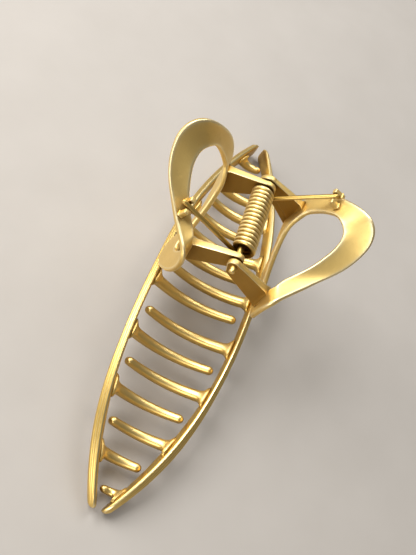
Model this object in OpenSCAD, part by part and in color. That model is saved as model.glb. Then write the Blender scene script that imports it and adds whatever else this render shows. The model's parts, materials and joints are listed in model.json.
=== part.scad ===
// Metal claw clip: two toothed jaws with loop handles, hinged on one pin and closed by a torsion spring.
// X runs across the clip (right jaw at +X), Y along it (front tips at -Y), Z up from the blade tips.

/* [Jaws] */
// Length over the blade tips
clip_length = 110; // [100:1:115]
// Half width between the rail centrelines at the widest point
half_width = 12.9; // [12.7:0.1:13.2]
// How much lower the rail runs at its tips than at its middle
rail_arch = 8.95; // [8:0.05:9.5]
// Width of the rail at its middle
rail_width = 1.9; // [1.8:0.1:2.1]
// Gap between the closed blade tips
tip_gap = 0.9; // [0.7:0.1:1.2]
// Depth of a back blade below the rail centreline
blade_drop = 4.2; // [3.8:0.1:4.4]
// Depth of a front tip below the rail centreline
front_drop = 2.0; // [1.8:0.1:2.1]

/* [Teeth] */
// Distance between neighbouring teeth, which alternate between the jaws
tooth_pitch = 6.5; // [6.4:0.05:6.55]
// Shift of the tooth row towards the front tips
tooth_shift = 1.8; // [1.7:0.05:2.0]
// Sag of the longest tooth below the rail
tooth_sag = 3.5; // [2.5:0.1:4.0]
// Gap between a tooth tip and the far rail's centreline
tooth_tip_gap = 2.2; // [2.1:0.1:2.6]
// Width of a tooth at mid length
tooth_width = 1.9; // [1.7:0.1:2.0]

/* [Handles] */
// Thickness of the handle plate
plate_thickness = 1.2; // [1.1:0.1:1.4]
// Side of a square spring post
post_side = 1.15; // [1.1:0.05:1.15]
// Height of a spring post above the plate
post_height = 2.1; // [1.8:0.1:2.3]

/* [Hinge] */
// Height of the hinge axis above the middle of the rails
axis_height = 21; // [20.8:0.1:21.2]
// Radius of the hinge pin
pin_radius = 0.7; // [0.65:0.05:0.75]
// Radial running clearance of the left arms on the pin
pin_clearance = 0.05; // [0.03:0.01:0.08]
// Thickness of a hinge arm
arm_thickness = 1.5; // [1.4:0.1:1.5]
// Radius of the rounded end of a front arm around the pin
front_lug_radius = 1.6; // [1.5:0.1:1.8]
// Radius of the rounded end of a back arm around the pin
back_lug_radius = 2.2; // [2.0:0.1:2.4]

/* [Spring] */
// Wire diameter
wire_diameter = 1.05; // [0.9:0.05:1.05]
// Mean radius of the coil
coil_radius = 2.18; // [2.1:0.02:2.24]
// Number of turns
coil_turns = 15; // [12:1:15]

/* [Hidden] */

half_length = clip_length / 2;
arch_skew = 1.03;
arch_cubic = 3.18;
tip_half_width = (tip_gap + rail_width) / 2;
// Height of the rail centreline's middle above the ground
rail_z = rail_arch - arch_skew + blade_drop;
axis_z = rail_z + axis_height;
// Front faces of the two arm pairs, the inner (left) arm of each pair lying nearer the coil
left_front_y = -2.3;
left_back_y = 18.1;
arm_gap = 0.3;
right_front_y = left_front_y - arm_gap - arm_thickness;
right_back_y = left_back_y + arm_thickness + arm_gap;
// Reach of an arm into the handle plate
arm_bite = 0.6;
pin_front_y = -5.5;
pin_back_y = 22.5;
coil_front_y = 0.8;
coil_back_y = 17.4;
// The slack coil lies askew on the pin
coil_front_x = 0.6;
coil_back_x = -0.3;
left_gold = "#d2ab55";
right_gold = "#c89f48";
tooth_gold = "#dab763";
wire_gold = "#b98d3c";

// Half distance between the rail centrelines at y: the front half is fuller than the back
function rail_x(y) =
    let(t = abs(y) / half_length)
    tip_half_width + (half_width - tip_half_width)
        * (y < 0 ? 1 - pow(t, 2.8) : 1 - pow(t, 2.2));
// Height of the rail centreline at y
function rail_height(y) =
    let(t = y / half_length)
    rail_z - rail_arch * t * t + arch_skew * t + arch_cubic * (pow(t, 3) - t);
// 0 over the middle of the rail, 1 at a tip
function blade(y) = pow(max(0, (abs(y) / half_length - 0.72) / 0.28), 1.6);
// Smooth step of y from 0 at low to 1 at high
function ease(y, low, high) = let(t = max(0, min(1, (y - low) / (high - low)))) t * t * (3 - 2 * t);

function unit(v) = v / norm(v);
// Point at parameter u of a Catmull-Rom curve through the closed list p
function loop_point(p, u) =
    let(n = len(p), i = floor(u), f = u - i,
        a = p[(i + n - 1) % n], b = p[i % n], c = p[(i + 1) % n], d = p[(i + 2) % n])
    0.5 * (2 * b + (c - a) * f + (2 * a - 5 * b + 4 * c - d) * f * f
        + (3 * b - a - 3 * c + d) * f * f * f);
// Triangles joining rings of m points, with n rings in all
function side_faces(n, m, closed) = [
    for (i = [0:(closed ? n - 1 : n - 2)]) for (j = [0:m - 1])
        let(a = i * m + j, b = i * m + (j + 1) % m,
            c = ((i + 1) % n) * m + (j + 1) % m, d = ((i + 1) % n) * m + j)
        for (face = [[a, b, c], [a, c, d]]) face
];
function cap_faces(n, m) = [[for (j = [m - 1:-1:0]) j], [for (j = [0:m - 1]) (n - 1) * m + j]];

// Solid skin over a list of rings of points, capped at both ends or closed into a loop
module skin(rings, closed = false) {
    n = len(rings);
    m = len(rings[0]);
    points = [for (ring = rings) for (p = ring) p];
    faces = closed ? side_faces(n, m, true) : concat(side_faces(n, m, false), cap_faces(n, m));
    polyhedron(points = points, faces = faces, convexity = 8);
}

// ---- rails -------------------------------------------------------------------------------

rail_steps = 56;
rail_foot = 1.4;
// Cross-section of the rail at y: across is outwards, the second value is up. The inner side
// leans inwards under a ridge, and the top falls away outwards.
function rail_section(y) =
    let(b = blade(y), back = ease(y, 2, 16) * (1 - b), front = ease(-y, 18, 40),
        w = rail_width / 2 * (1 + 0.5 * front - (y < 0 ? 0.5 : 0) * b),
        foot = rail_foot + ((y < 0 ? front_drop : blade_drop) - rail_foot) * b + 0.3 * back)
    [[-w - 0.35 * back, -foot], [-w * 0.85 + 0.5 * front * (1 - b), 1.6],
     [-w * 0.35 + 0.4 * front + 0.5 * back, 1.9],
     [w * 0.9 + 0.2 * back, 0.7], [w + 0.2 * back, 0.2], [w * 0.8, -foot]];
function rail_ring(y) =
    let(e = 0.05, slope = (rail_x(min(y + e, half_length)) - rail_x(max(y - e, -half_length))) / (2 * e),
        out = unit([1, -slope * (1 - blade(y))]))
    [for (s = rail_section(y)) [rail_x(y) + s[0] * out[0], y + s[0] * out[1], rail_height(y) + s[1]]];

module rail() {
    skin([for (i = [0:rail_steps])
        let(t = -1 + 2 * i / rail_steps)
        rail_ring(half_length * (t + 0.12 * sin(180 * t) / PI))]);
}

// ---- teeth -------------------------------------------------------------------------------

tooth_steps = 14;
tooth_sides = 10;
// The two teeth beside the front feet sit a little further back than the rest of the row
function tooth_y(k) = (k - 7.5) * tooth_pitch - tooth_shift + (k == 7 ? 1.4 : k == 8 ? 0.7 : 0);
// One ring of a tooth at u, 0 at its root inside the rail and 1 at its tip. The root widens along
// the rail, and the shortest teeth are slimmer.
function tooth_ring(k, u) =
    let(y = tooth_y(k), w = rail_x(y), from = w - 0.3, to = tooth_tip_gap - w,
        x = from + (to - from) * u,
        dome = u > 0.94 ? sqrt(max(0.05, 1 - pow((u - 0.94) / 0.06, 2))) : 1,
        slim = min(1, 0.5 + w / 12),
        half_tall = (1.45 - 0.3 * u) * slim,
        tall = half_tall * dome,
        z = rail_height(y) - 0.9 * u - 4 * tooth_sag * (w / half_width) * u * (1 - u) + 0.8 - half_tall,
        root = pow(max(0, 1 - u * (from - to) / 2.6), 2),
        wide = (tooth_width / 2 * (1.12 - 0.3 * u) * slim + 1.1 * root) * dome,
        slope = (-0.9 - 4 * tooth_sag * (w / half_width) * (1 - 2 * u)) / (to - from),
        up = unit([-slope, 1]))
    [for (j = [0:tooth_sides - 1])
        let(a = -360 * j / tooth_sides, across = wide * cos(a), lift = tall * sin(a),
            along_rail = (rail_x(y + across) - w) * root)
        [x + lift * up[0] + along_rail, y + across, z + lift * up[1]]];

module tooth(k) {
    skin([for (i = [0:tooth_steps]) tooth_ring(k, sin(90 * i / tooth_steps))]);
}
// Even positions along the clip belong to the right jaw, odd ones to the left jaw
module right_tooth(n) {
    color(tooth_gold) tooth(2 * n - 2);
}
module left_tooth(n) {
    color(tooth_gold) mirror([1, 0, 0]) tooth(2 * n - 1);
}

// ---- handles -----------------------------------------------------------------------------

// Outline of the handle loop and of its finger hole on the inner face, from the front arm
// out round the paddle, back down to the rear arm and along the sloping brace to the foot.
// Heights are above the middle of the rails.
loop_outline = [
    [11.2, -6.6, 21.8], [13.4, -4.0, 22.2], [15.9, -1.1, 22.9], [18.2, 1.5, 24.0], [20.4, 3.8, 25.4],
    [22.1, 6.0, 27.3], [23.2, 8.4, 29.7], [23.4, 10.5, 32.2], [22.3, 12.7, 34.3], [20.0, 14.9, 35.0],
    [17.3, 17.4, 33.3], [14.35, 20.4, 29.6], [12.2, 22.3, 25.9], [10.5, 23.2, 21.5], [9.6, 23.0, 17.2],
    [9.2, 21.8, 13.2], [9.2, 17.5, 11.6], [9.4, 12.8, 11.2], [9.9, 9.4, 8.6], [10.7, 7.6, 5.4],
    [11.7, 6.0, 2.6], [12.4, 2.8, 0.8], [12.2, -1.8, 2.4], [11.2, -5.0, 6.8], [10.1, -7.0, 11.5],
    [9.6, -7.9, 16.0], [9.9, -7.8, 19.8]
];
hole_outline = [
    [10.2, -2.6, 21.1], [11.0, -1.0, 21.5], [12.3, 0.6, 22.1], [13.8, 2.2, 23.1], [15.3, 4.0, 24.5],
    [16.6, 6.2, 26.3], [17.5, 8.2, 28.0], [17.7, 10.2, 29.4], [17.2, 12.0, 30.0], [16.0, 13.9, 29.9],
    [14.8, 15.8, 28.6], [13.2, 17.2, 26.0], [11.7, 17.8, 23.7], [10.3, 17.8, 21.8], [9.3, 16.5, 20.0],
    [8.8, 15.6, 18.3], [8.7, 14.4, 16.6], [8.8, 12.2, 15.0], [9.2, 9.4, 13.1], [9.8, 6.4, 11.3],
    [10.4, 3.6, 9.6], [10.7, 1.5, 8.4], [10.6, 0.1, 8.6], [10.3, -1.0, 10.2], [9.9, -2.2, 13.2],
    [9.6, -3.0, 16.4], [9.6, -3.2, 19.4]
];
loop_substeps = 4;
// Parallel rows across the band, from the hole to the outline
band_rows = [0, 0.5, 1];
function band_point(u, r) = loop_point(hole_outline, u) * (1 - r) + loop_point(loop_outline, u) * r;
function band_normal(u) =
    let(n = len(loop_outline), e = 0.3,
        along = band_point(u + e, 0.5) - band_point(u + n - e, 0.5),
        across = band_point(u, 1) - band_point(u, 0))
    unit(cross(across, along));
function band_ring(u) =
    let(normal = band_normal(u) * plate_thickness,
        face = [for (r = band_rows) band_point(u, r) + [0, 0, rail_z]],
        last = len(band_rows) - 1)
    concat(face, [for (i = [last:-1:0]) face[i] - normal]);

module handle() {
    n = len(loop_outline) * loop_substeps;
    skin([for (i = [0:n - 1]) band_ring(i / loop_substeps)], closed = true);
}

// ---- hinge arms --------------------------------------------------------------------------

arm_root_x = 9.6;
// Top and bottom of an arm at the handle, and its lower corner by the pin, all from the pin's axis
front_arm = [-2.7, -10.2, [-0.5, -3.4]];
back_arm = [-0.6, -10.2, [-0.6, -2.0]];

// Tapered arm from the right handle to the pin, its front face at y, bored to radius bore
module arm(y, bore, shape, lug_radius) {
    translate([0, y + arm_thickness, axis_z]) rotate([90, 0, 0]) difference() {
        union() {
            linear_extrude(arm_thickness) polygon([
                [arm_root_x + arm_bite, shape[1]],
                [arm_root_x + arm_bite, shape[0]],
                [0.4, lug_radius * 0.96],
                [-lug_radius * 0.9, -lug_radius * 0.4],
                shape[2]
            ]);
            cylinder(h = arm_thickness, r = lug_radius, $fn = 48);
        }
        translate([0, 0, -1]) cylinder(h = arm_thickness + 2, r = bore, $fn = 48);
    }
}

// ---- spring posts ------------------------------------------------------------------------

// Pair of square posts that trap a spring leg, on the right handle at [x, y, height]
module spring_posts(at, spread, tilt) {
    for (side = [-1, 1]) translate([at[0], at[1] + side * spread / 2, at[2] + rail_z + side * tilt[1]])
        rotate([0, tilt[0], 0]) translate([-post_side / 2, -post_side / 2, -0.8])
            cube([post_side, post_side, post_height + 0.8]);
}

post_spread = 2.7;
right_posts = [14.4, 19.3, 29.2];
right_tilt = [-72, 0.2];
left_posts = [15.0, 1.35, 23.3];
left_tilt = [-20, 0.45];

// ---- torsion spring ----------------------------------------------------------------------

wire_sides = 6;
turn_steps = 14;
coil_z = axis_z + 0.05;
left_leg_end = [-16.2, 1.35, rail_z + left_posts[2] + 2.3];
right_leg_end = [13.6, 19.45, rail_z + right_posts[2] + 1.35];
function leg_angle(end, coil_x, side) =
    let(dx = end[0] - coil_x, dz = end[2] - coil_z, d = sqrt(dx * dx + dz * dz))
    atan2(dz, dx) + side * acos(coil_radius / d);
left_angle = leg_angle(left_leg_end, coil_front_x, 1);
right_angle = leg_angle(right_leg_end, coil_back_x, -1);
// The wire winds from the left leg at the front to the right leg at the back
turned_angle = 360 * (coil_turns + 1) + ((right_angle - left_angle) % 360);
coil_rings = round(turned_angle / 360 * turn_steps);
function coil_centre(f) =
    let(a = left_angle + turned_angle * f, x = coil_front_x + (coil_back_x - coil_front_x) * f,
        y = coil_front_y + (coil_back_y - coil_front_y) * f)
    [x + coil_radius * cos(a), y, coil_z + coil_radius * sin(a)];
wire_path = concat(
    [left_leg_end],
    [for (i = [0:coil_rings]) coil_centre(i / coil_rings)],
    [right_leg_end]
);
function wire_ring(i) =
    let(last = len(wire_path) - 1, here = wire_path[i],
        along = unit(wire_path[min(i + 1, last)] - wire_path[max(i - 1, 0)]),
        side = unit(cross(along, [0, 1, 0])), up = cross(side, along))
    [for (j = [0:wire_sides - 1])
        let(a = 360 * j / wire_sides)
        here + wire_diameter / 2 * (side * cos(a) + up * sin(a))];

// ---- named pieces ------------------------------------------------------------------------

module right_rail() { color(right_gold) rail(); }
module left_rail() { color(left_gold) mirror([1, 0, 0]) rail(); }
module right_handle() { color(right_gold) handle(); }
module left_handle() { color(left_gold) mirror([1, 0, 0]) handle(); }
module right_front_arm() { color(right_gold) arm(right_front_y, pin_radius, front_arm, front_lug_radius); }
module right_back_arm() { color(right_gold) arm(right_back_y, pin_radius, back_arm, back_lug_radius); }
module left_front_arm() {
    color(left_gold) mirror([1, 0, 0])
        arm(left_front_y, pin_radius + pin_clearance, front_arm, front_lug_radius);
}
module left_back_arm() {
    color(left_gold) mirror([1, 0, 0])
        arm(left_back_y, pin_radius + pin_clearance, back_arm, back_lug_radius);
}
module right_spring_posts() { color(right_gold) spring_posts(right_posts, post_spread, right_tilt); }
module left_spring_posts() {
    color(left_gold) mirror([1, 0, 0]) spring_posts(left_posts, post_spread, left_tilt);
}
module hinge_pin() {
    color(wire_gold) translate([0, pin_back_y, axis_z]) rotate([90, 0, 0])
        cylinder(h = pin_back_y - pin_front_y, r = pin_radius, $fn = 48);
}
module torsion_spring() {
    color(wire_gold) skin([for (i = [0:len(wire_path) - 1]) wire_ring(i)]);
}

right_rail();
left_rail();
right_tooth(1);  // right_tooth_1
right_tooth(2);  // right_tooth_2
right_tooth(3);  // right_tooth_3
right_tooth(4);  // right_tooth_4
right_tooth(5);  // right_tooth_5
right_tooth(6);  // right_tooth_6
right_tooth(7);  // right_tooth_7
right_tooth(8);  // right_tooth_8
left_tooth(1);  // left_tooth_1
left_tooth(2);  // left_tooth_2
left_tooth(3);  // left_tooth_3
left_tooth(4);  // left_tooth_4
left_tooth(5);  // left_tooth_5
left_tooth(6);  // left_tooth_6
left_tooth(7);  // left_tooth_7
left_tooth(8);  // left_tooth_8
right_handle();
left_handle();
right_front_arm();
right_back_arm();
left_front_arm();
left_back_arm();
right_spring_posts();
left_spring_posts();
hinge_pin();
torsion_spring();
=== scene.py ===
import json
import bpy
import numpy as np
from mathutils import Matrix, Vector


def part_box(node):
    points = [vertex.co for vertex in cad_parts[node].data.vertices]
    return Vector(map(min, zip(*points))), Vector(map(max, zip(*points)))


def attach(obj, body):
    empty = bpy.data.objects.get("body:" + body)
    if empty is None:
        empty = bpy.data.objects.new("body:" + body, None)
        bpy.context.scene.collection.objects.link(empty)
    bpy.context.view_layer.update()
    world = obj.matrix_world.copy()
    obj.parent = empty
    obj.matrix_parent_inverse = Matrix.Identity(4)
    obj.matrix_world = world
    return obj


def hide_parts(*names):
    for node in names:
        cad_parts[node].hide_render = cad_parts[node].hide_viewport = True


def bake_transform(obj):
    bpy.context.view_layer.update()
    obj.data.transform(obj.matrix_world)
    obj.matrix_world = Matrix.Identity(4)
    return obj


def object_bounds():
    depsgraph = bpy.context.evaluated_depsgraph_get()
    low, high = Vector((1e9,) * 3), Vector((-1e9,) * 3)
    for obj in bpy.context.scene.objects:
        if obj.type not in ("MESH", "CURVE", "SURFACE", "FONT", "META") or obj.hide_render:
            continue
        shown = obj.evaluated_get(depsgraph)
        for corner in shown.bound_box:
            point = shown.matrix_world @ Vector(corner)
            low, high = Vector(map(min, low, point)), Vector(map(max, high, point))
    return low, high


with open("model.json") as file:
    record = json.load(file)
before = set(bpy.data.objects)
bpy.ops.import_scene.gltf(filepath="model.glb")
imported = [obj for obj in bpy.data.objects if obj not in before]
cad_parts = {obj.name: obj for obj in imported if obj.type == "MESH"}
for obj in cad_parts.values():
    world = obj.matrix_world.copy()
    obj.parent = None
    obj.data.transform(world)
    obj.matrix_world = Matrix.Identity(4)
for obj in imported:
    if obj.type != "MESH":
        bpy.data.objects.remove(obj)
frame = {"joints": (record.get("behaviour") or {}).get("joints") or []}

cadBox = [[float(v) for v in corner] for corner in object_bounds()]
print("frame loaded")

# Shapes are worked out in millimetres and written to the meshes in metres.
mm = 0.001
pinAboveRails = 21.0
pinZ = frame["joints"][0]["pos_m"][2] / mm
railZ = pinZ - pinAboveRails
halfLength = cadBox[1][1] / mm


def unitRows(v):
    return v / np.linalg.norm(v, axis=-1, keepdims=True)


# evenly spaced angles round a full circle
def fullTurn(count):
    return np.linspace(0, 2 * np.pi, count, endpoint=False)


# smooth step: 3t^2 - 2t^3 with t running 0 to 1 between low and high
def ease(v, low, high):
    t = np.clip((v - low) / (high - low), 0, 1)
    return t * t * (3 - 2 * t)


# bell curve: exp(-((v - middle) / width)^2)
def hill(v, middle, width):
    return np.exp(-((v - middle) / width) ** 2)


# quarter-circle dome: sqrt(1 - t^2) with t running 0 to 1 over the last stretch
def dome(t):
    return np.sqrt(1 - np.clip(t, 0, 1) ** 2)


# hollow fillet of radius r: r - sqrt(r^2 - gap^2), with gap falling from r to 0 away from the joint
def filletRise(r, gap):
    return r - np.sqrt(np.clip(r**2 - np.clip(gap, 0, r) ** 2, 0, None))


# Catmull-Rom curve through a closed list of points, at evenly spaced parameters
def closedCurve(points, count):
    p, n = np.array(points, float), len(points)
    u = np.arange(count) * n / count
    i = np.floor(u).astype(int)
    f = (u - i)[:, None]
    a, b, c, d = (p[(i + k) % n] for k in (-1, 0, 1, 2))
    return 0.5 * (2 * b + (c - a) * f + (2 * a - 5 * b + 4 * c - d) * f**2 + (3 * b - a - 3 * c + d) * f**3)


# repeated 1-2-1 average of neighbours round a closed axis
def soften(v, passes, axis=0):
    for _ in range(passes):
        v = 0.25 * np.roll(v, 1, axis) + 0.5 * v + 0.25 * np.roll(v, -1, axis)
    return v


# one quad per cell of a grid that is closed round its second direction; the first closes too, or has a
# pole at each end; one mask marks painted highlights on edges and tops, where the finish is smoother, the
# other painted shade on sides, undersides and between parts, where it is duller, both from 0 to 1
def gridObject(name, grid, rim, body, slot, nodes, closeU=False, mirror=False, wall=0.0):
    nu, nv = grid.shape[:2]
    rows = np.arange(nu if closeU else nu - 1)
    i, j = (v.ravel() for v in np.meshgrid(rows, np.arange(nv), indexing="ij"))
    i2, j2 = (i + 1) % nu, (j + 1) % nv
    quads = np.stack([i * nv + j, i * nv + j2, i2 * nv + j2, i2 * nv + j], 1)
    fans = np.zeros((0, 3), int)
    points = grid.reshape(-1, 3)
    masks = {"rim": rim, "wall": wall}
    masks = {mask: np.broadcast_to(v, (nu, nv)).reshape(-1) for mask, v in masks.items()}
    if not closeU:
        k, lastRow = np.arange(nv), (nu - 1) * nv
        after = (k + 1) % nv
        fans = np.vstack([np.stack([k, np.full(nv, nu * nv), after], 1),
                          np.stack([lastRow + k, lastRow + after, np.full(nv, nu * nv + 1)], 1)])
        points = np.vstack([points, grid[0].mean(0), grid[-1].mean(0)])
        masks = {mask: np.r_[v, v[:nv].mean(), v[-nv:].mean()] for mask, v in masks.items()}
    if mirror:
        points = points * [-1, 1, 1]
    # the volume, by the divergence sum, tells which way the faces point
    a, b, c, d = (points[quads[:, n]] for n in range(4))
    volume = (np.cross(a, b) * c).sum() + (np.cross(a, c) * d).sum()
    a, b, c = (points[fans[:, n]] for n in range(3))
    volume += (np.cross(a, b) * c).sum()
    if volume < 0:
        quads, fans = quads[:, ::-1], fans[:, ::-1]
    mesh = bpy.data.meshes.new(name)
    mesh.from_pydata((points * mm).tolist(), [], quads.tolist() + fans.tolist())
    for mask, values in masks.items():
        mesh.attributes.new(mask, "FLOAT", "POINT").data.foreach_set("value", values.astype(np.float32))
    mesh.polygons.foreach_set("use_smooth", np.ones(len(mesh.polygons), bool))
    mesh.update()
    mesh.materials.append(gold[slot])
    piece = bpy.data.objects.new(name, mesh)
    bpy.context.scene.collection.objects.link(piece)
    if body:
        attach(piece, body)
    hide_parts(*nodes)
    return piece


# ---- gold finishes

class Wire:  # one node socket; sums on it add Math nodes
    def __init__(self, paint, socket):
        self.paint, self.socket = paint, socket

    def calc(self, how, first, second):
        return self.paint.add("ShaderNodeMath", {"operation": how}, {0: first, 1: second})

    def __add__(self, other):
        return self.calc("ADD", self, other)

    def __radd__(self, other):
        return self.calc("ADD", other, self)

    def __sub__(self, other):
        return self.calc("SUBTRACT", self, other)

    def __rsub__(self, other):
        return self.calc("SUBTRACT", other, self)

    def __mul__(self, other):
        return self.calc("MULTIPLY", self, other)

    def __rmul__(self, other):
        return self.calc("MULTIPLY", other, self)


class Paint:  # builds one material
    def __init__(self, name):
        self.material = bpy.data.materials.new(name)
        self.material.use_nodes = True
        self.tree = self.material.node_tree
        self.tree.nodes.clear()

    # adds a node: its settings first, then values or links of its sockets; gives back one output
    def add(self, kind, settings=None, sockets=None, out=0):
        node = self.tree.nodes.new(kind)
        for key, value in (settings or {}).items():
            if key == "stops":
                ramp = node.color_ramp.elements
                for stop, (place, shade) in zip(ramp, value):
                    stop.position, stop.color = place, (shade, shade, shade, 1)
            else:
                setattr(node, key, value)
        for key, value in (sockets or {}).items():
            if isinstance(value, Wire):
                self.tree.links.new(value.socket, node.inputs[key])
            else:
                node.inputs[key].default_value = value
        return None if out is None else Wire(self, node.outputs[out])

    def noise(self, where, scale, detail=2.0, rough=0.5):
        sockets = {"Vector": where, "Scale": scale, "Detail": detail, "Roughness": rough}
        return self.add("ShaderNodeTexNoise", {}, sockets)

    # grey ramp between two stops, each a place and a shade
    def ramp(self, value, low, high):
        return self.add("ShaderNodeValToRGB", {"stops": (low, high)}, {0: value})

    def mask(self, name):
        return self.add("ShaderNodeAttribute", {"attribute_name": name}, out="Fac")

    # the Mix node's colour sockets are inputs 6 and 7 and output 2
    def mix(self, factor, first, second):
        return self.add("ShaderNodeMix", {"data_type": "RGBA"}, {0: factor, 6: first, 7: second}, out=2)

    def finish(self, sockets):
        shader = self.add("ShaderNodeBsdfPrincipled", {}, sockets)
        self.add("ShaderNodeOutputMaterial", {}, {"Surface": shader}, out=None)
        return self.material


# per part: the deep gold is both the metal's darker tone and the colour of painted shade; the pale gold is
# the colour of painted highlights
goldFinish = {
    "jaw_gold": {
        "deepToneAndShade": (0.27, 0.135, 0.012, 1), "middle": (0.80, 0.555, 0.16, 1), "highlightGold": (1.0, 0.88, 0.55, 1),
        "roughness": 0.36, "grain": 0.30, "grainScale": 5200, "cloudScale": 150},
    "handle_gold": {
        "deepToneAndShade": (0.26, 0.13, 0.012, 1), "middle": (0.84, 0.61, 0.22, 1), "highlightGold": (1.0, 0.90, 0.60, 1),
        "roughness": 0.42, "grain": 0.55, "grainScale": 4300, "cloudScale": 110},
    "pin_gold": {
        "deepToneAndShade": (0.28, 0.15, 0.016, 1), "middle": (0.78, 0.55, 0.17, 1), "highlightGold": (1.0, 0.86, 0.52, 1),
        "roughness": 0.34, "grain": 0.18, "grainScale": 5000, "cloudScale": 260},
    "spring_gold": {
        "deepToneAndShade": (0.24, 0.13, 0.013, 1), "middle": (0.85, 0.61, 0.21, 1), "highlightGold": (1.0, 0.92, 0.62, 1),
        "roughness": 0.34, "grain": 0.15, "grainScale": 5600, "cloudScale": 320},
}
goldLayers = {
    # colour layers: cloud and pits are the metal's own tone; the last three are a painted highlight, painted
    # shade in corners and painted shade on sides
    "colour": {"cloud": 0.14, "pits": 0.05, "rim": 0.60, "corner": 0.85, "wall": 0.85},
    "roughness": {"grain": 0.16, "pits": 0.05, "cloud": 0.05, "wall": 0.08, "rim": 0.07},
    "height": {"pits": 0.5, "ripple": 0.8},
    "cloudStops": ((0.34, 0.0), (0.70, 1.0)), "pitStops": ((0.60, 0.0), (0.76, 1.0)),
    "cornerShadeStops": ((0.25, 1.0), (0.85, 0.0)), "cornerShadeReach": 0.0045,
    "pitScale": 0.27, "rippleScale": 900, "bumpStrength": 0.30, "bumpDepth": 0.00006,
}


# colour = middle gold, clouded towards deep gold by a slow noise; painted shade turns it deep gold in tight
# corners found by ambient occlusion and on the masked sides, undersides and gaps, which are also rougher; a
# painted highlight turns it pale gold, and smoother, on the masked edges and tops; fine grain, sparse pits
# and a slow ripple give the bump
def goldPaint(name, s):
    p = Paint(name)
    colour, rough, height = (goldLayers[part] for part in ("colour", "roughness", "height"))
    where = p.add("ShaderNodeTexCoord", out="Object")
    rim, wall = p.mask("rim"), p.mask("wall")
    cloud = p.ramp(p.noise(where, s["cloudScale"], 3.0, 0.6), *goldLayers["cloudStops"])
    grain = p.noise(where, s["grainScale"], 2.0, 0.6)
    pitScale = s["grainScale"] * goldLayers["pitScale"]
    pits = p.ramp(p.noise(where, pitScale, 1.0, 0.4), *goldLayers["pitStops"])
    ripple = p.noise(where, goldLayers["rippleScale"])
    # painted shade: deep gold in tight corners and recesses, found by ambient occlusion
    reach = {"Distance": goldLayers["cornerShadeReach"]}
    openness = p.add("ShaderNodeAmbientOcclusion", {"samples": 8}, reach, out="AO")
    corner = p.ramp(openness, *goldLayers["cornerShadeStops"])
    tone = p.mix(cloud * colour["cloud"] + pits * colour["pits"], s["middle"], s["deepToneAndShade"])
    # painted highlight: pale gold on the masked edges and tops
    tone = p.mix(rim * colour["rim"], tone, s["highlightGold"])
    tone = p.mix(corner * colour["corner"], tone, s["deepToneAndShade"])
    # painted shade: deep gold on the masked sides, undersides and gaps
    tone = p.mix(wall * colour["wall"], tone, s["deepToneAndShade"])
    roughness = s["roughness"] + grain * (rough["grain"] * s["grain"]) + pits * rough["pits"]
    roughness = roughness + cloud * rough["cloud"] + wall * rough["wall"] - rim * rough["rim"]
    surface = grain * s["grain"] + (1 - pits) * height["pits"] + ripple * height["ripple"]
    bump = p.add("ShaderNodeBump", {}, {
        "Strength": goldLayers["bumpStrength"], "Distance": goldLayers["bumpDepth"], "Height": surface})
    return p.finish({"Base Color": tone, "Metallic": 1.0, "Roughness": roughness, "Normal": bump})


gold = {slot: goldPaint(slot + "_finish", s) for slot, s in goldFinish.items()}
print("gold finishes made")

# ---- rails

railShape = {
    "halfWidth": 12.9, "tipHalfWidth": 1.4, "frontPower": 2.8, "backPower": 2.2,
    "arch": 8.95, "skew": 1.03, "cubic": 3.18,
    "width": 1.9, "foot": 1.4, "frontDrop": 2.0, "backDrop": 4.2, "backFoot": 0.3,
    "tipFrom": 0.72, "tipPower": 1.6, "backSwell": (2, 16), "frontSwell": (18, 40),
    "stations": 420, "edgeSteps": (16, 5, 26, 5, 9, 11), "rounding": 5,
    "ridges": 3, "ridgeHeight": 0.055, "tipRound": (0.8, 2.0),
    "frontWiden": 0.5, "tipNarrow": 0.5, "nearTip": 0.9999,
    # corners from the outer foot over the top to the inner foot: share of the half width, then how far the
    # wide front and the swollen back move it
    "corners": [[-1, 0, -0.35], [-0.85, 0.5, 0], [-0.35, 0.4, 0.5], [0.9, 0, 0.2], [1, 0, 0.2], [0.8, 0, 0]],
    "heights": [1.6, 1.9, 0.7, 0.2],
}


# half distance between the rails: tip + (middle - tip) * (1 - |y/L|^n), where n is larger in front
def railX(y):
    s = railShape
    power = np.where(y < 0, s["frontPower"], s["backPower"])
    return s["tipHalfWidth"] + (s["halfWidth"] - s["tipHalfWidth"]) * (1 - (np.abs(y) / halfLength) ** power)


# height of the rail: an arch -a t^2, leaning by b t, and c (t^3 - t), with t = y / L
def railHeight(y):
    t, s = y / halfLength, railShape
    return railZ - s["arch"] * t**2 + s["skew"] * t + s["cubic"] * (t**3 - t)


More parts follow.
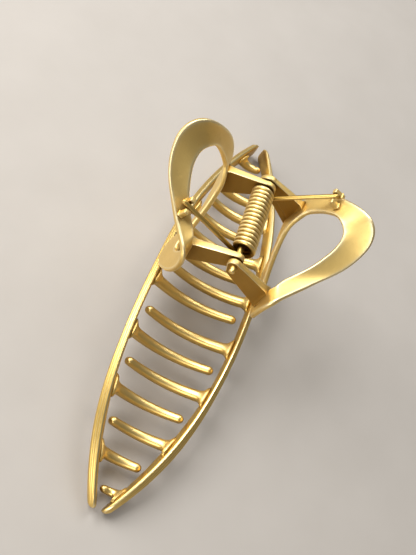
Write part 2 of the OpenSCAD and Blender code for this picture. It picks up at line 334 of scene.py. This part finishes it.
# a six-cornered section carried along the rail's line, its corners rounded by averaging; three fine
# ridges run along the outer slope as cosine waves; both tips close in quarter-circle domes
def buildRail(name, mirror, body):
    s = railShape
    # stations crowd towards both tips as the sine of an even angle, and stop just short of them
    y = halfLength * np.sin(np.linspace(-np.pi / 2, np.pi / 2, s["stations"]) * s["nearTip"])
    tip = np.clip((np.abs(y) / halfLength - s["tipFrom"]) / (1 - s["tipFrom"]), 0, None) ** s["tipPower"]
    back, front = ease(y, *s["backSwell"]) * (1 - tip), ease(-y, *s["frontSwell"])
    w = s["width"] / 2 * (1 + s["frontWiden"] * front - np.where(y < 0, s["tipNarrow"], 0.0) * tip)
    drop = np.where(y < 0, s["frontDrop"], s["backDrop"])
    foot = s["foot"] + (drop - s["foot"]) * tip + s["backFoot"] * back
    share, atFront, atBack = np.array(s["corners"]).T
    across = w[:, None] * share + front[:, None] * atFront + back[:, None] * atBack
    across[:, 1] -= front * tip * atFront[1]  # the shoulder's shift fades at the tip
    up = np.stack([-foot, *(np.full_like(y, height) for height in s["heights"]), -foot], 1)
    corners = np.stack([across, up], 2)
    edges = []
    for n, steps in enumerate(s["edgeSteps"]):
        f = (np.arange(steps) / steps)[None, :, None]
        edges.append(corners[:, [n]] * (1 - f) + corners[:, [(n + 1) % 6]] * f)
    section = soften(np.concatenate(edges, 1), s["rounding"], axis=1)
    along = np.roll(section, -1, 1) - np.roll(section, 1, 1)
    outward = unitRows(np.stack([-along[..., 1], along[..., 0]], 2))
    # phase runs 0 to 1 over the third edge, the outer slope
    phase = (np.arange(section.shape[1]) - sum(s["edgeSteps"][:2])) / s["edgeSteps"][2]
    window = ease(phase, 0.0, 0.12) * (1 - ease(phase, 0.9, 1.0))
    ridge = window * np.cos(2 * np.pi * s["ridges"] * phase) * (1 - tip[:, None] * 0.6)
    section = section + outward * (s["ridgeHeight"] * ridge)[..., None]
    reach = halfLength - np.abs(y)
    middle = section.mean(1, keepdims=True)
    shrink = np.stack([dome(1 - reach / radius) for radius in s["tipRound"]], 1)[:, None, :]
    section = middle + (section - middle) * shrink
    slope = np.gradient(railX(y), y) * (1 - tip)
    side = unitRows(np.stack([np.ones_like(y), -slope], 1))
    grid = np.stack([
        railX(y)[:, None] + section[..., 0] * side[:, :1],
        np.clip(y[:, None] + section[..., 0] * side[:, 1:], -halfLength, halfLength),
        railHeight(y)[:, None] + section[..., 1]], 2)
    # painted highlight on the ridge tops and along the top edge
    rim = np.clip(ridge, 0, 1) * 0.6 + hill(phase, -0.05, 0.08)
    gridObject(name, grid, rim, body, "jaw_gold", [body[:-4] + "_rail"], mirror=mirror)


buildRail("rightRail", False, "right_jaw")
buildRail("leftRail", True, "left_jaw")
print("rails made")

# ---- teeth

toothShape = {
    "pitch": 6.5, "shift": 1.8, "nudges": {7: 1.4, 8: 0.7}, "middle": 7.5,
    "sag": 3.5, "fall": 0.9, "top": 0.8, "inset": 0.3, "tipGap": 2.2,
    "width": 2.25, "height": 1.45, "heightTaper": 0.3, "rootWidth": 1.12, "widthTaper": 0.3,
    "fillet": 1.5, "filletFrom": 0.7, "filletReach": 2.2, "tipRound": 1.0,
    "steps": 90, "sides": 40, "partingLine": 0.05, "partingAt": -0.25, "partingWidth": 0.12,
    "sidePower": 0.7, "topPower": 0.85, "underPower": 0.6, "slimBelow": (0.5, 12), "filletBelow": (0.55, 20),
}


# section: |cos|^p, |sin|^q ellipse with a flat underside, carried along an arc that sags by 4 s u (1 - u);
# near the rail it flares in a quarter-circle fillet R - sqrt(R^2 - (R - d)^2), and its tip is a dome
def buildTooth(name, k, mirror, body, node):
    s = toothShape
    y = (k - s["middle"]) * s["pitch"] - s["shift"] + s["nudges"].get(k, 0)
    w = float(railX(np.array(y)))
    start, end = w - s["inset"], s["tipGap"] - w
    u = np.sin(np.pi / 2 * np.linspace(0, 1, s["steps"]))
    length = start - end
    sag = 4 * s["sag"] * w / railShape["halfWidth"]
    distance = length * u - s["filletFrom"]
    # the shortest teeth are slimmer, and their fillets smaller
    slim, small = (min(1, least + w / full) for least, full in (s["slimBelow"], s["filletBelow"]))
    radius = s["fillet"] * small
    flare = filletRise(radius, radius - distance)
    tipDome = dome(1 - length * (1 - u) / s["tipRound"])
    tall = (s["height"] - s["heightTaper"] * u) * slim
    x = start - length * u
    z = float(railHeight(np.array(y))) - s["fall"] * u - sag * u * (1 - u) + s["top"] - tall
    wide = (s["width"] / 2 * (s["rootWidth"] - s["widthTaper"] * u) * slim + flare) * tipDome
    tall = (tall + flare * 0.25) * tipDome
    a = fullTurn(s["sides"])
    ca, sa = np.cos(a), np.sin(a)
    seam = hill(sa, s["partingAt"], s["partingWidth"])
    across = np.sign(ca) * np.abs(ca) ** s["sidePower"] * (1 + s["partingLine"] * seam)
    lift = np.sign(sa) * np.abs(sa) ** np.where(sa > 0, s["topPower"], s["underPower"])
    slope = (s["fall"] + sag * (1 - 2 * u)) / length
    lean = unitRows(np.stack([-slope, np.ones_like(u)], 1))
    place = y + wide[:, None] * across
    alongRail = (railX(place) - w) * (1 - ease(distance, 0.0, s["filletReach"]))[:, None]
    grid = np.stack([
        x[:, None] + tall[:, None] * lift * lean[:, :1] + alongRail, place,
        z[:, None] + tall[:, None] * lift * lean[:, 1:]], 2)
    # painted highlight on each tooth's top, its parting line and its tip
    rim = np.clip(sa, 0, 1) ** 3 * 0.35 + seam * 0.25 + (1 - tipDome[:, None]) * 0.3
    # painted shade on each tooth's sides and underside, less on the parting line
    wall = (1 - ease(sa, -0.15, 0.25)) * (1 - 0.6 * seam) * 0.75
    gridObject(name, grid, rim, body, "jaw_gold", [node], mirror=mirror, wall=wall)


for n in range(1, 9):
    buildTooth("rightTooth%d" % n, 2 * n - 2, False, "right_jaw", "right_tooth_%d" % n)
    buildTooth("leftTooth%d" % n, 2 * n - 1, True, "left_jaw", "left_tooth_%d" % n)
print("teeth made")

# ---- handles

handleShape = {
    "thickness": 1.2, "edgeRadius": 0.42, "dish": 0.10, "around": 520, "arcSteps": 7, "faceSteps": 14,
    "softness": 30, "normalSoftness": 40,
    "outline": [
        [11.2, -6.6, 21.8], [13.4, -4.0, 22.2], [15.9, -1.1, 22.9], [18.2, 1.5, 24.0], [20.4, 3.8, 25.4],
        [22.1, 6.0, 27.3], [23.2, 8.4, 29.7], [23.4, 10.5, 32.2], [22.3, 12.7, 34.3], [20.0, 14.9, 35.0],
        [17.3, 17.4, 33.3], [14.35, 20.4, 29.6], [12.2, 22.3, 25.9], [10.5, 23.2, 21.5], [9.6, 23.0, 17.2],
        [9.2, 21.8, 13.2], [9.2, 17.5, 11.6], [9.4, 12.8, 11.2], [9.9, 9.4, 8.6], [10.7, 7.6, 5.4],
        [11.7, 6.0, 2.6], [12.4, 2.8, 0.8], [12.2, -1.8, 2.4], [11.2, -5.0, 6.8], [10.1, -7.0, 11.5],
        [9.6, -7.9, 16.0], [9.9, -7.8, 19.8]],
    "hole": [
        [10.2, -2.6, 21.1], [11.0, -1.0, 21.5], [12.3, 0.6, 22.1], [13.8, 2.2, 23.1], [15.3, 4.0, 24.5],
        [16.6, 6.2, 26.3], [17.5, 8.2, 28.0], [17.7, 10.2, 29.4], [17.2, 12.0, 30.0], [16.0, 13.9, 29.9],
        [14.8, 15.8, 28.6], [13.2, 17.2, 26.0], [11.7, 17.8, 23.7], [10.3, 17.8, 21.8], [9.3, 16.5, 20.0],
        [8.8, 15.6, 18.3], [8.7, 14.4, 16.6], [8.8, 12.2, 15.0], [9.2, 9.4, 13.1], [9.8, 6.4, 11.3],
        [10.4, 3.6, 9.6], [10.7, 1.5, 8.4], [10.6, 0.1, 8.6], [10.3, -1.0, 10.2], [9.9, -2.2, 13.2],
        [9.6, -3.0, 16.4], [9.6, -3.2, 19.4]],
}


# a flat bar section with rounded edges, carried round the finger hole between two closed curves:
# the hole's edge and the outline; its thickness is laid off along the band's own normal, and a shallow
# parabola dishes its face
def buildHandle(name, mirror, body, node):
    s = handleShape
    hole, edge = (soften(closedCurve(s[curve], s["around"]), s["softness"]) + [0, 0, railZ]
                  for curve in ("hole", "outline"))
    width = np.linalg.norm(edge - hole, axis=1)
    across = unitRows(edge - hole)
    middle = (edge + hole) / 2
    along = unitRows(np.roll(middle, -1, 0) - np.roll(middle, 1, 0))
    normal = unitRows(soften(unitRows(np.cross(across, along)), s["normalSoftness"]))
    r, thick = s["edgeRadius"], s["thickness"]
    arc = np.linspace(0, np.pi / 2, s["arcSteps"])
    rising, falling = r * (1 - np.cos(arc)), r * (1 - np.sin(arc))
    flat = np.linspace(0, 1, s["faceSteps"] + 2)[1:-1]
    inner, outer, level = np.zeros_like(arc), np.ones_like(arc), np.ones_like(flat)
    # columns: share of the width, millimetres along it, depth below the face, painted highlight mask on the
    # rounded edges
    ring = np.vstack([
        np.stack([flat, r * (1 - 2 * flat), 0 * level, np.exp((np.abs(flat - 0.5) - 0.5) / 0.05)], 1),
        np.stack([outer, -falling, rising, np.cos(arc) ** 0.5], 1),
        np.stack([outer, -rising, thick - falling, np.sin(arc) * 0.6], 1),
        np.stack([flat[::-1], r * (1 - 2 * flat[::-1]), thick * level, 0 * level], 1),
        np.stack([inner, falling, thick - rising, np.cos(arc) * 0.6], 1),
        np.stack([inner, rising, falling, np.sin(arc) ** 0.5], 1)])
    share, offset, depth, rim = ring.T
    depth = depth + s["dish"] * 4 * share * (1 - share) * (depth == 0)
    place = share * width[:, None] + offset
    grid = hole[:, None] + across[:, None] * place[..., None] - normal[:, None] * depth[None, :, None]
    gridObject(name, grid, rim, body, "handle_gold", [node], closeU=True, mirror=mirror)


buildHandle("rightHandle", False, "right_jaw", "right_handle")
buildHandle("leftHandle", True, "left_jaw", "left_handle")
print("handles made")

# ---- hinge arms

armShape = {
    "rootX": 9.6, "bite": 0.6, "bore": {"right": 0.7, "left": 0.75},
    "front": {"rootTop": -2.7, "rootBottom": -10.2, "heel": [-0.5, -3.4], "lug": 1.6},
    "back": {"rootTop": -0.6, "rootBottom": -10.2, "heel": [-0.6, -2.0], "lug": 2.2},
    "edgeRadius": 0.28, "fillet": 0.7, "filletShare": 0.6, "thinAtPin": 0.82, "thickAtRoot": 1.22,
    "angles": 300, "firstAngle": 0.003, "radial": 34, "crowding": 0.75, "arcSteps": 5,
    "step": 0.22, "stepLine": (-0.9, 0.62),
}


# a plate ringed round its bore: at each angle it reaches from the bore to the outline, which is the larger
# of the lug circle and the five-cornered arm; edges are quarter circles, it thins towards the pin and
# thickens into the handle
def buildArm(name, side, node, stepped=False):
    s, own = armShape, armShape["front" if "front" in node else "back"]
    low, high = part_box(node)
    front, thick = low[1] / mm, (high[1] - low[1]) / mm
    theta = fullTurn(s["angles"]) + s["firstAngle"]
    d = np.stack([np.cos(theta), np.sin(theta)], 1)
    root, lug = s["rootX"] + s["bite"], own["lug"]
    corner = np.array([[root, own["rootBottom"]], [root, own["rootTop"]], [0.4, lug * 0.96],
                       [-lug * 0.9, -lug * 0.4], own["heel"]])
    # where each ray from the bore crosses each side of the outline
    e = np.roll(corner, -1, 0) - corner
    cross = d[:, None, 0] * e[None, :, 1] - d[:, None, 1] * e[None, :, 0]
    hit = (corner[:, 0] * e[:, 1] - corner[:, 1] * e[:, 0]) / cross
    along = (corner[None, :, 0] * d[:, None, 1] - corner[None, :, 1] * d[:, None, 0]) / cross
    reach = np.where((along >= 0) & (along <= 1) & (hit > 0), hit, 0).max(1)
    outline = np.maximum(reach, lug)
    bore, r = s["bore"][side], s["edgeRadius"]
    arc = np.linspace(0, np.pi / 2, s["arcSteps"])
    rising, falling = r * (1 - np.cos(arc)), r * (1 - np.sin(arc))
    f = np.linspace(0, 1, s["radial"]) ** s["crowding"]
    # columns: share of the reach, millimetres along it, depth from the front face, painted highlight mask on
    # the rounded edges
    ring = np.vstack([
        np.stack([f, -r * f, 0 * f, 0 * f], 1),
        np.stack([np.ones_like(arc), -falling, rising, np.cos(arc) ** 0.5], 1)[1:],
        np.stack([np.ones_like(arc), -rising, thick - falling, np.sin(arc) ** 0.5], 1),
        np.stack([f[::-1], -r * f[::-1], 0 * f + thick, 0 * f], 1)[1:]])
    share, offset, depth, rim = ring.T
    distance = bore + (outline[:, None] - bore) * share + offset
    x, z = distance * d[:, :1], distance * d[:, 1:]
    # fillet into the handle plate, on both faces
    flare = filletRise(s["fillet"], s["fillet"] - np.clip(s["rootX"] + 0.1 - x, 0, None))
    outwards = np.clip(x / s["rootX"], 0, 1)
    taper = s["thinAtPin"] + (s["thickAtRoot"] - s["thinAtPin"]) * outwards
    fromMiddle = depth - thick / 2
    y = front + thick / 2 + fromMiddle * taper + np.sign(fromMiddle) * flare * s["filletShare"]
    if stepped:  # the lower third is relieved on its front face
        line = own["rootBottom"] * s["stepLine"][1] * outwards + s["stepLine"][0]
        y = y + s["step"] * (1 - ease(z, line - 0.08, line + 0.08)) * (fromMiddle < 0) * ease(x, 2.0, 3.0)
    grid = np.stack([x, y, z + pinZ], 2)
    # painted shade on both flat faces of the arm plate
    wall = np.where((share < 0.999) & (share > 0), 0.9, 0.0)
    gridObject(name, grid, rim, side + "_jaw", "handle_gold", [node], closeU=True,
               mirror=side == "left", wall=wall)


buildArm("rightFrontArm", "right", "right_front_arm")
buildArm("rightBackArm", "right", "right_back_arm", stepped=True)
buildArm("leftFrontArm", "left", "left_front_arm")
buildArm("leftBackArm", "left", "left_back_arm")
print("arms made")

# ---- spring posts

postShape = {
    "side": 1.25, "height": 2.1, "sunk": 0.8, "spread": 2.7, "topRound": 0.25, "footFlare": 0.22,
    "draft": 0.05, "squareness": 6, "around": 48,
    "right": {"at": [14.4, 19.3, 8.2], "tilt": -72, "rise": 0.2},
    "left": {"at": [15.0, 1.35, 2.3], "tilt": -20, "rise": 0.45},
}


# a square with rounded corners, (|cos|^p + |sin|^p)^(-1/p), drawn up from the plate: a fillet at its foot,
# a slight draft, a dome on top
def buildPost(name, side, sign):
    s, own = postShape, postShape[side]
    shoulder = s["height"] - s["topRound"]
    crown = s["height"] - s["topRound"] * (1 - np.sin(np.linspace(0.1, np.pi / 2, 8)))
    h = np.concatenate([np.linspace(-s["sunk"], 0.5, 12), np.linspace(0.55, shoulder, 6), crown])
    top = np.clip((h - shoulder) / s["topRound"], 0, 1)
    foot = s["footFlare"] * np.clip(1 - (h + 0.1) / 0.45, 0, 1) ** 2 * (h > -0.15)
    scale = (s["side"] / 2 - s["topRound"] * (1 - dome(top)) + foot) * (1 - s["draft"] * h)
    a = fullTurn(s["around"])
    ca, sa = np.cos(a), np.sin(a)
    square = (np.abs(ca) ** s["squareness"] + np.abs(sa) ** s["squareness"]) ** (-1 / s["squareness"])
    px, py = scale[:, None] * (ca * square), scale[:, None] * (sa * square)
    pz = np.broadcast_to(h[:, None], px.shape)
    tilt = np.radians(own["tilt"])
    x0, y0, z0 = own["at"]
    grid = np.stack([
        x0 + px * np.cos(tilt) + pz * np.sin(tilt), y0 + sign * s["spread"] / 2 + py,
        pinZ + z0 + sign * own["rise"] - px * np.sin(tilt) + pz * np.cos(tilt)], 2)
    corners = np.maximum(np.abs(ca), np.abs(sa)) < 0.8
    # painted highlight on the rounded shoulder of the top and on the corners
    rim = (hill(top, 0.4, 0.4) * (top > 0))[:, None] * 0.6 + corners * 0.3
    gridObject(name, grid, rim, side + "_jaw", "handle_gold", [side + "_spring_posts"], mirror=side == "left")


for side in ("right", "left"):
    buildPost(side + "PostFront", side, -1)
    buildPost(side + "PostBack", side, 1)
print("posts made")

# ---- hinge pin

pinShape = {"endRadius": 0.35, "around": 48, "arcSteps": 8, "steps": 24}


# a straight round bar about Y: constant radius, with quarter-circle ends
def buildPin():
    s = pinShape
    low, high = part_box("hinge_pin")
    radius, y0, y1 = (high[0] - low[0]) / 2 / mm, low[1] / mm, high[1] / mm
    r = s["endRadius"]
    arc = np.linspace(0.08, np.pi / 2, s["arcSteps"])
    end, inwards = radius - r + r * np.sin(arc), r * (1 - np.cos(arc))
    reach = np.r_[end, np.full(s["steps"], radius), end[::-1]]
    y = np.r_[y0 + inwards, np.linspace(y0 + r, y1 - r, s["steps"] + 2)[1:-1], y1 - inwards[::-1]]
    a = fullTurn(s["around"])
    grid = np.stack([reach[:, None] * np.cos(a), np.broadcast_to(y[:, None], (len(y), len(a))),
                     pinZ + reach[:, None] * np.sin(a)], 2)
    # painted highlight at both rounded ends
    endHighlight = np.clip(1 - np.minimum(y - y0, y1 - y) / (r * 1.2), 0, 1) * 0.8
    gridObject("hingePin", grid, endHighlight[:, None], "right_jaw", "pin_gold", ["hinge_pin"])


buildPin()
print("pin made")

# ---- torsion spring

springShape = {
    "wire": 1.05, "coilRadius": 2.18, "turns": 15, "front": [0.6, 0.8], "back": [-0.3, 17.4], "lift": 0.05,
    "leftEnd": [-16.2, 1.35, 4.6], "rightEnd": [13.6, 19.45, 9.55], "endRound": 0.18, "endShare": 0.62,
    "perTurn": 56, "legSteps": 40, "sides": 18, "blendInset": 0.8,
}


# angle at which a straight leg leaves the coil along its tangent: atan(dz/dx) +- acos(R/d)
def legAngle(end, coilX, way):
    s = springShape
    dx, dz = end[0] - coilX, end[2] - s["lift"]
    return np.arctan2(dz, dx) + way * np.arccos(s["coilRadius"] / np.hypot(dx, dz))


# wire: left leg, then a helix of R cos a, R sin a climbing evenly along Y, then the right leg
def buildSpring():
    s = springShape
    leftEnd, rightEnd, front, back = (np.array(s[key]) for key in ("leftEnd", "rightEnd", "front", "back"))
    first, last = legAngle(leftEnd, front[0], 1), legAngle(rightEnd, back[0], -1)
    turned = 2 * np.pi * (s["turns"] + 1) + np.fmod(last - first, 2 * np.pi)
    f = np.linspace(0, 1, int(turned / (2 * np.pi) * s["perTurn"]))
    a = first + turned * f
    middle = front * (1 - f[:, None]) + back * f[:, None]
    coil = np.stack([middle[:, 0] + s["coilRadius"] * np.cos(a), middle[:, 1],
                     s["lift"] + s["coilRadius"] * np.sin(a)], 1)
    t = np.linspace(0, 1, s["legSteps"])[:, None]
    path = np.vstack([leftEnd + (coil[0] - leftEnd) * t[:-1], coil, coil[-1] + (rightEnd - coil[-1]) * t[1:]])
    path[3:-3] = (path[2:-4] + 2 * path[3:-3] + path[4:-2]) / 4
    tangent = unitRows(np.gradient(path, axis=0))
    side = unitRows(np.cross(tangent, [0, 1, 0]))
    up = np.cross(side, tangent)
    reach = np.concatenate([[0], np.cumsum(np.linalg.norm(np.diff(path, axis=0), axis=1))])
    end = np.minimum(reach, reach[-1] - reach)
    # the cut ends are rounded over about a sixth of the wire
    radius = s["wire"] / 2 * (s["endShare"] + (1 - s["endShare"]) * dome(1 - end / s["endRound"]))
    b = fullTurn(s["sides"])[:, None]
    around = radius[:, None, None] * (side[:, None] * np.cos(b) + up[:, None] * np.sin(b))
    # painted highlight where the wire faces away from the pin, painted shade and a duller finish between the
    # turns
    away = unitRows(path * [1, 0, 1] - [0, 0, s["lift"]])
    facing = (around * away[:, None]).sum(2) / (s["wire"] / 2)
    rim, wall = ease(facing, 0.5, 1.0) * 0.4, 0.9 - 0.9 * ease(facing, -0.4, 0.3)
    grid = path[:, None] + around + [0, 0, pinZ]
    piece = gridObject("torsionSpring", grid, rim, None, "spring_gold", ["torsion_spring"], wall=wall)
    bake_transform(piece)


buildSpring()
print("spring made")

# ---- floor, lights and camera

floorShape = {
    "half": 0.9, "steps": 24, "roughness": 0.85, "fibreScale": 60,
    "dark": (0.40, 0.37, 0.34, 1), "light": (0.45, 0.42, 0.39, 1),
}
lights = {
    "keyLight": {"at": (-0.26, 0.10, 0.36), "size": 0.26, "power": 2.3, "colour": (1.0, 0.99, 0.97)},
    "topLight": {"at": (0.05, 0.30, 0.42), "size": 0.22, "power": 1.1, "colour": (1.0, 1.0, 0.99)},
    "frontLight": {"at": (-0.16, -0.40, 0.17), "size": 0.26, "power": 1.2, "colour": (1.0, 0.98, 0.94)},
    "sideLight": {"at": (-0.40, 0.02, 0.13), "size": 0.22, "power": 0.6, "colour": (1.0, 0.98, 0.94)},
}
studio = {"air": (0.46, 0.44, 0.40, 1), "strength": 0.42, "exposure": -0.1, "aim": (0, 0, 0.02)}
cameraShape = {
    "eye": (-23.4, -68.7, 126.6), "forward": (0.157, 0.485, -0.860), "up": (-0.476, 0.801, 0.364),
    "lens": 38.66, "sensor": 36, "clipStart": 0.005,
}


# a flat square grid, z = 0
def buildFloor():
    s = floorShape
    n = s["steps"]
    line = np.linspace(-s["half"], s["half"], n)
    x, y = (v.ravel() for v in np.meshgrid(line, line, indexing="ij"))
    i, j = np.meshgrid(np.arange(n - 1), np.arange(n - 1), indexing="ij")
    k = (i * n + j).ravel()
    mesh = bpy.data.meshes.new("floor")
    quads = np.stack([k, k + n, k + n + 1, k + 1], 1)
    mesh.from_pydata(np.stack([x, y, 0 * x], 1).tolist(), [], quads.tolist())
    floor = bpy.data.objects.new("floor", mesh)
    bpy.context.scene.collection.objects.link(floor)
    p = Paint("floor_card")
    fibres = p.noise(p.add("ShaderNodeTexCoord", out="Object"), s["fibreScale"], 3.0)
    tone = p.mix(fibres, s["dark"], s["light"])
    mesh.materials.append(p.finish({"Base Color": tone, "Roughness": s["roughness"]}))


# the matrix of a lamp or camera at a place, with its z axis along "away" and its y axis towards "upwards"
def aimed(place, away, upwards):
    right = unitRows(np.cross(upwards, away))
    up = np.cross(away, right)
    return Matrix([[right[n], up[n], away[n], place[n]] for n in range(3)] + [[0, 0, 0, 1]])


def buildStudio():
    scene = bpy.context.scene
    for name, s in lights.items():
        data = bpy.data.lights.new(name, "AREA")
        data.shape, data.size, data.energy, data.color = "SQUARE", s["size"], s["power"], s["colour"]
        lamp = bpy.data.objects.new(name, data)
        lamp.matrix_world = aimed(s["at"], unitRows(np.subtract(s["at"], studio["aim"])), [0, 0, 1])
        scene.collection.objects.link(lamp)
    scene.world = bpy.data.worlds.new("studio")
    scene.world.use_nodes = True
    air = scene.world.node_tree.nodes["Background"]
    air.inputs["Color"].default_value = studio["air"]
    air.inputs["Strength"].default_value = studio["strength"]
    scene.view_settings.view_transform, scene.view_settings.exposure = "Standard", studio["exposure"]


def buildCamera():
    s = cameraShape
    data = bpy.data.cameras.new("camera")
    data.sensor_width, data.lens, data.clip_start = s["sensor"], s["lens"], s["clipStart"]
    camera = bpy.data.objects.new("camera", data)
    eye = (np.array(s["eye"]) + [0, 0, railZ]) * mm
    camera.matrix_world = aimed(eye, -unitRows(np.array(s["forward"])), s["up"])
    bpy.context.scene.collection.objects.link(camera)
    bpy.context.scene.camera = camera


buildFloor()
buildStudio()
buildCamera()
print("stage made")
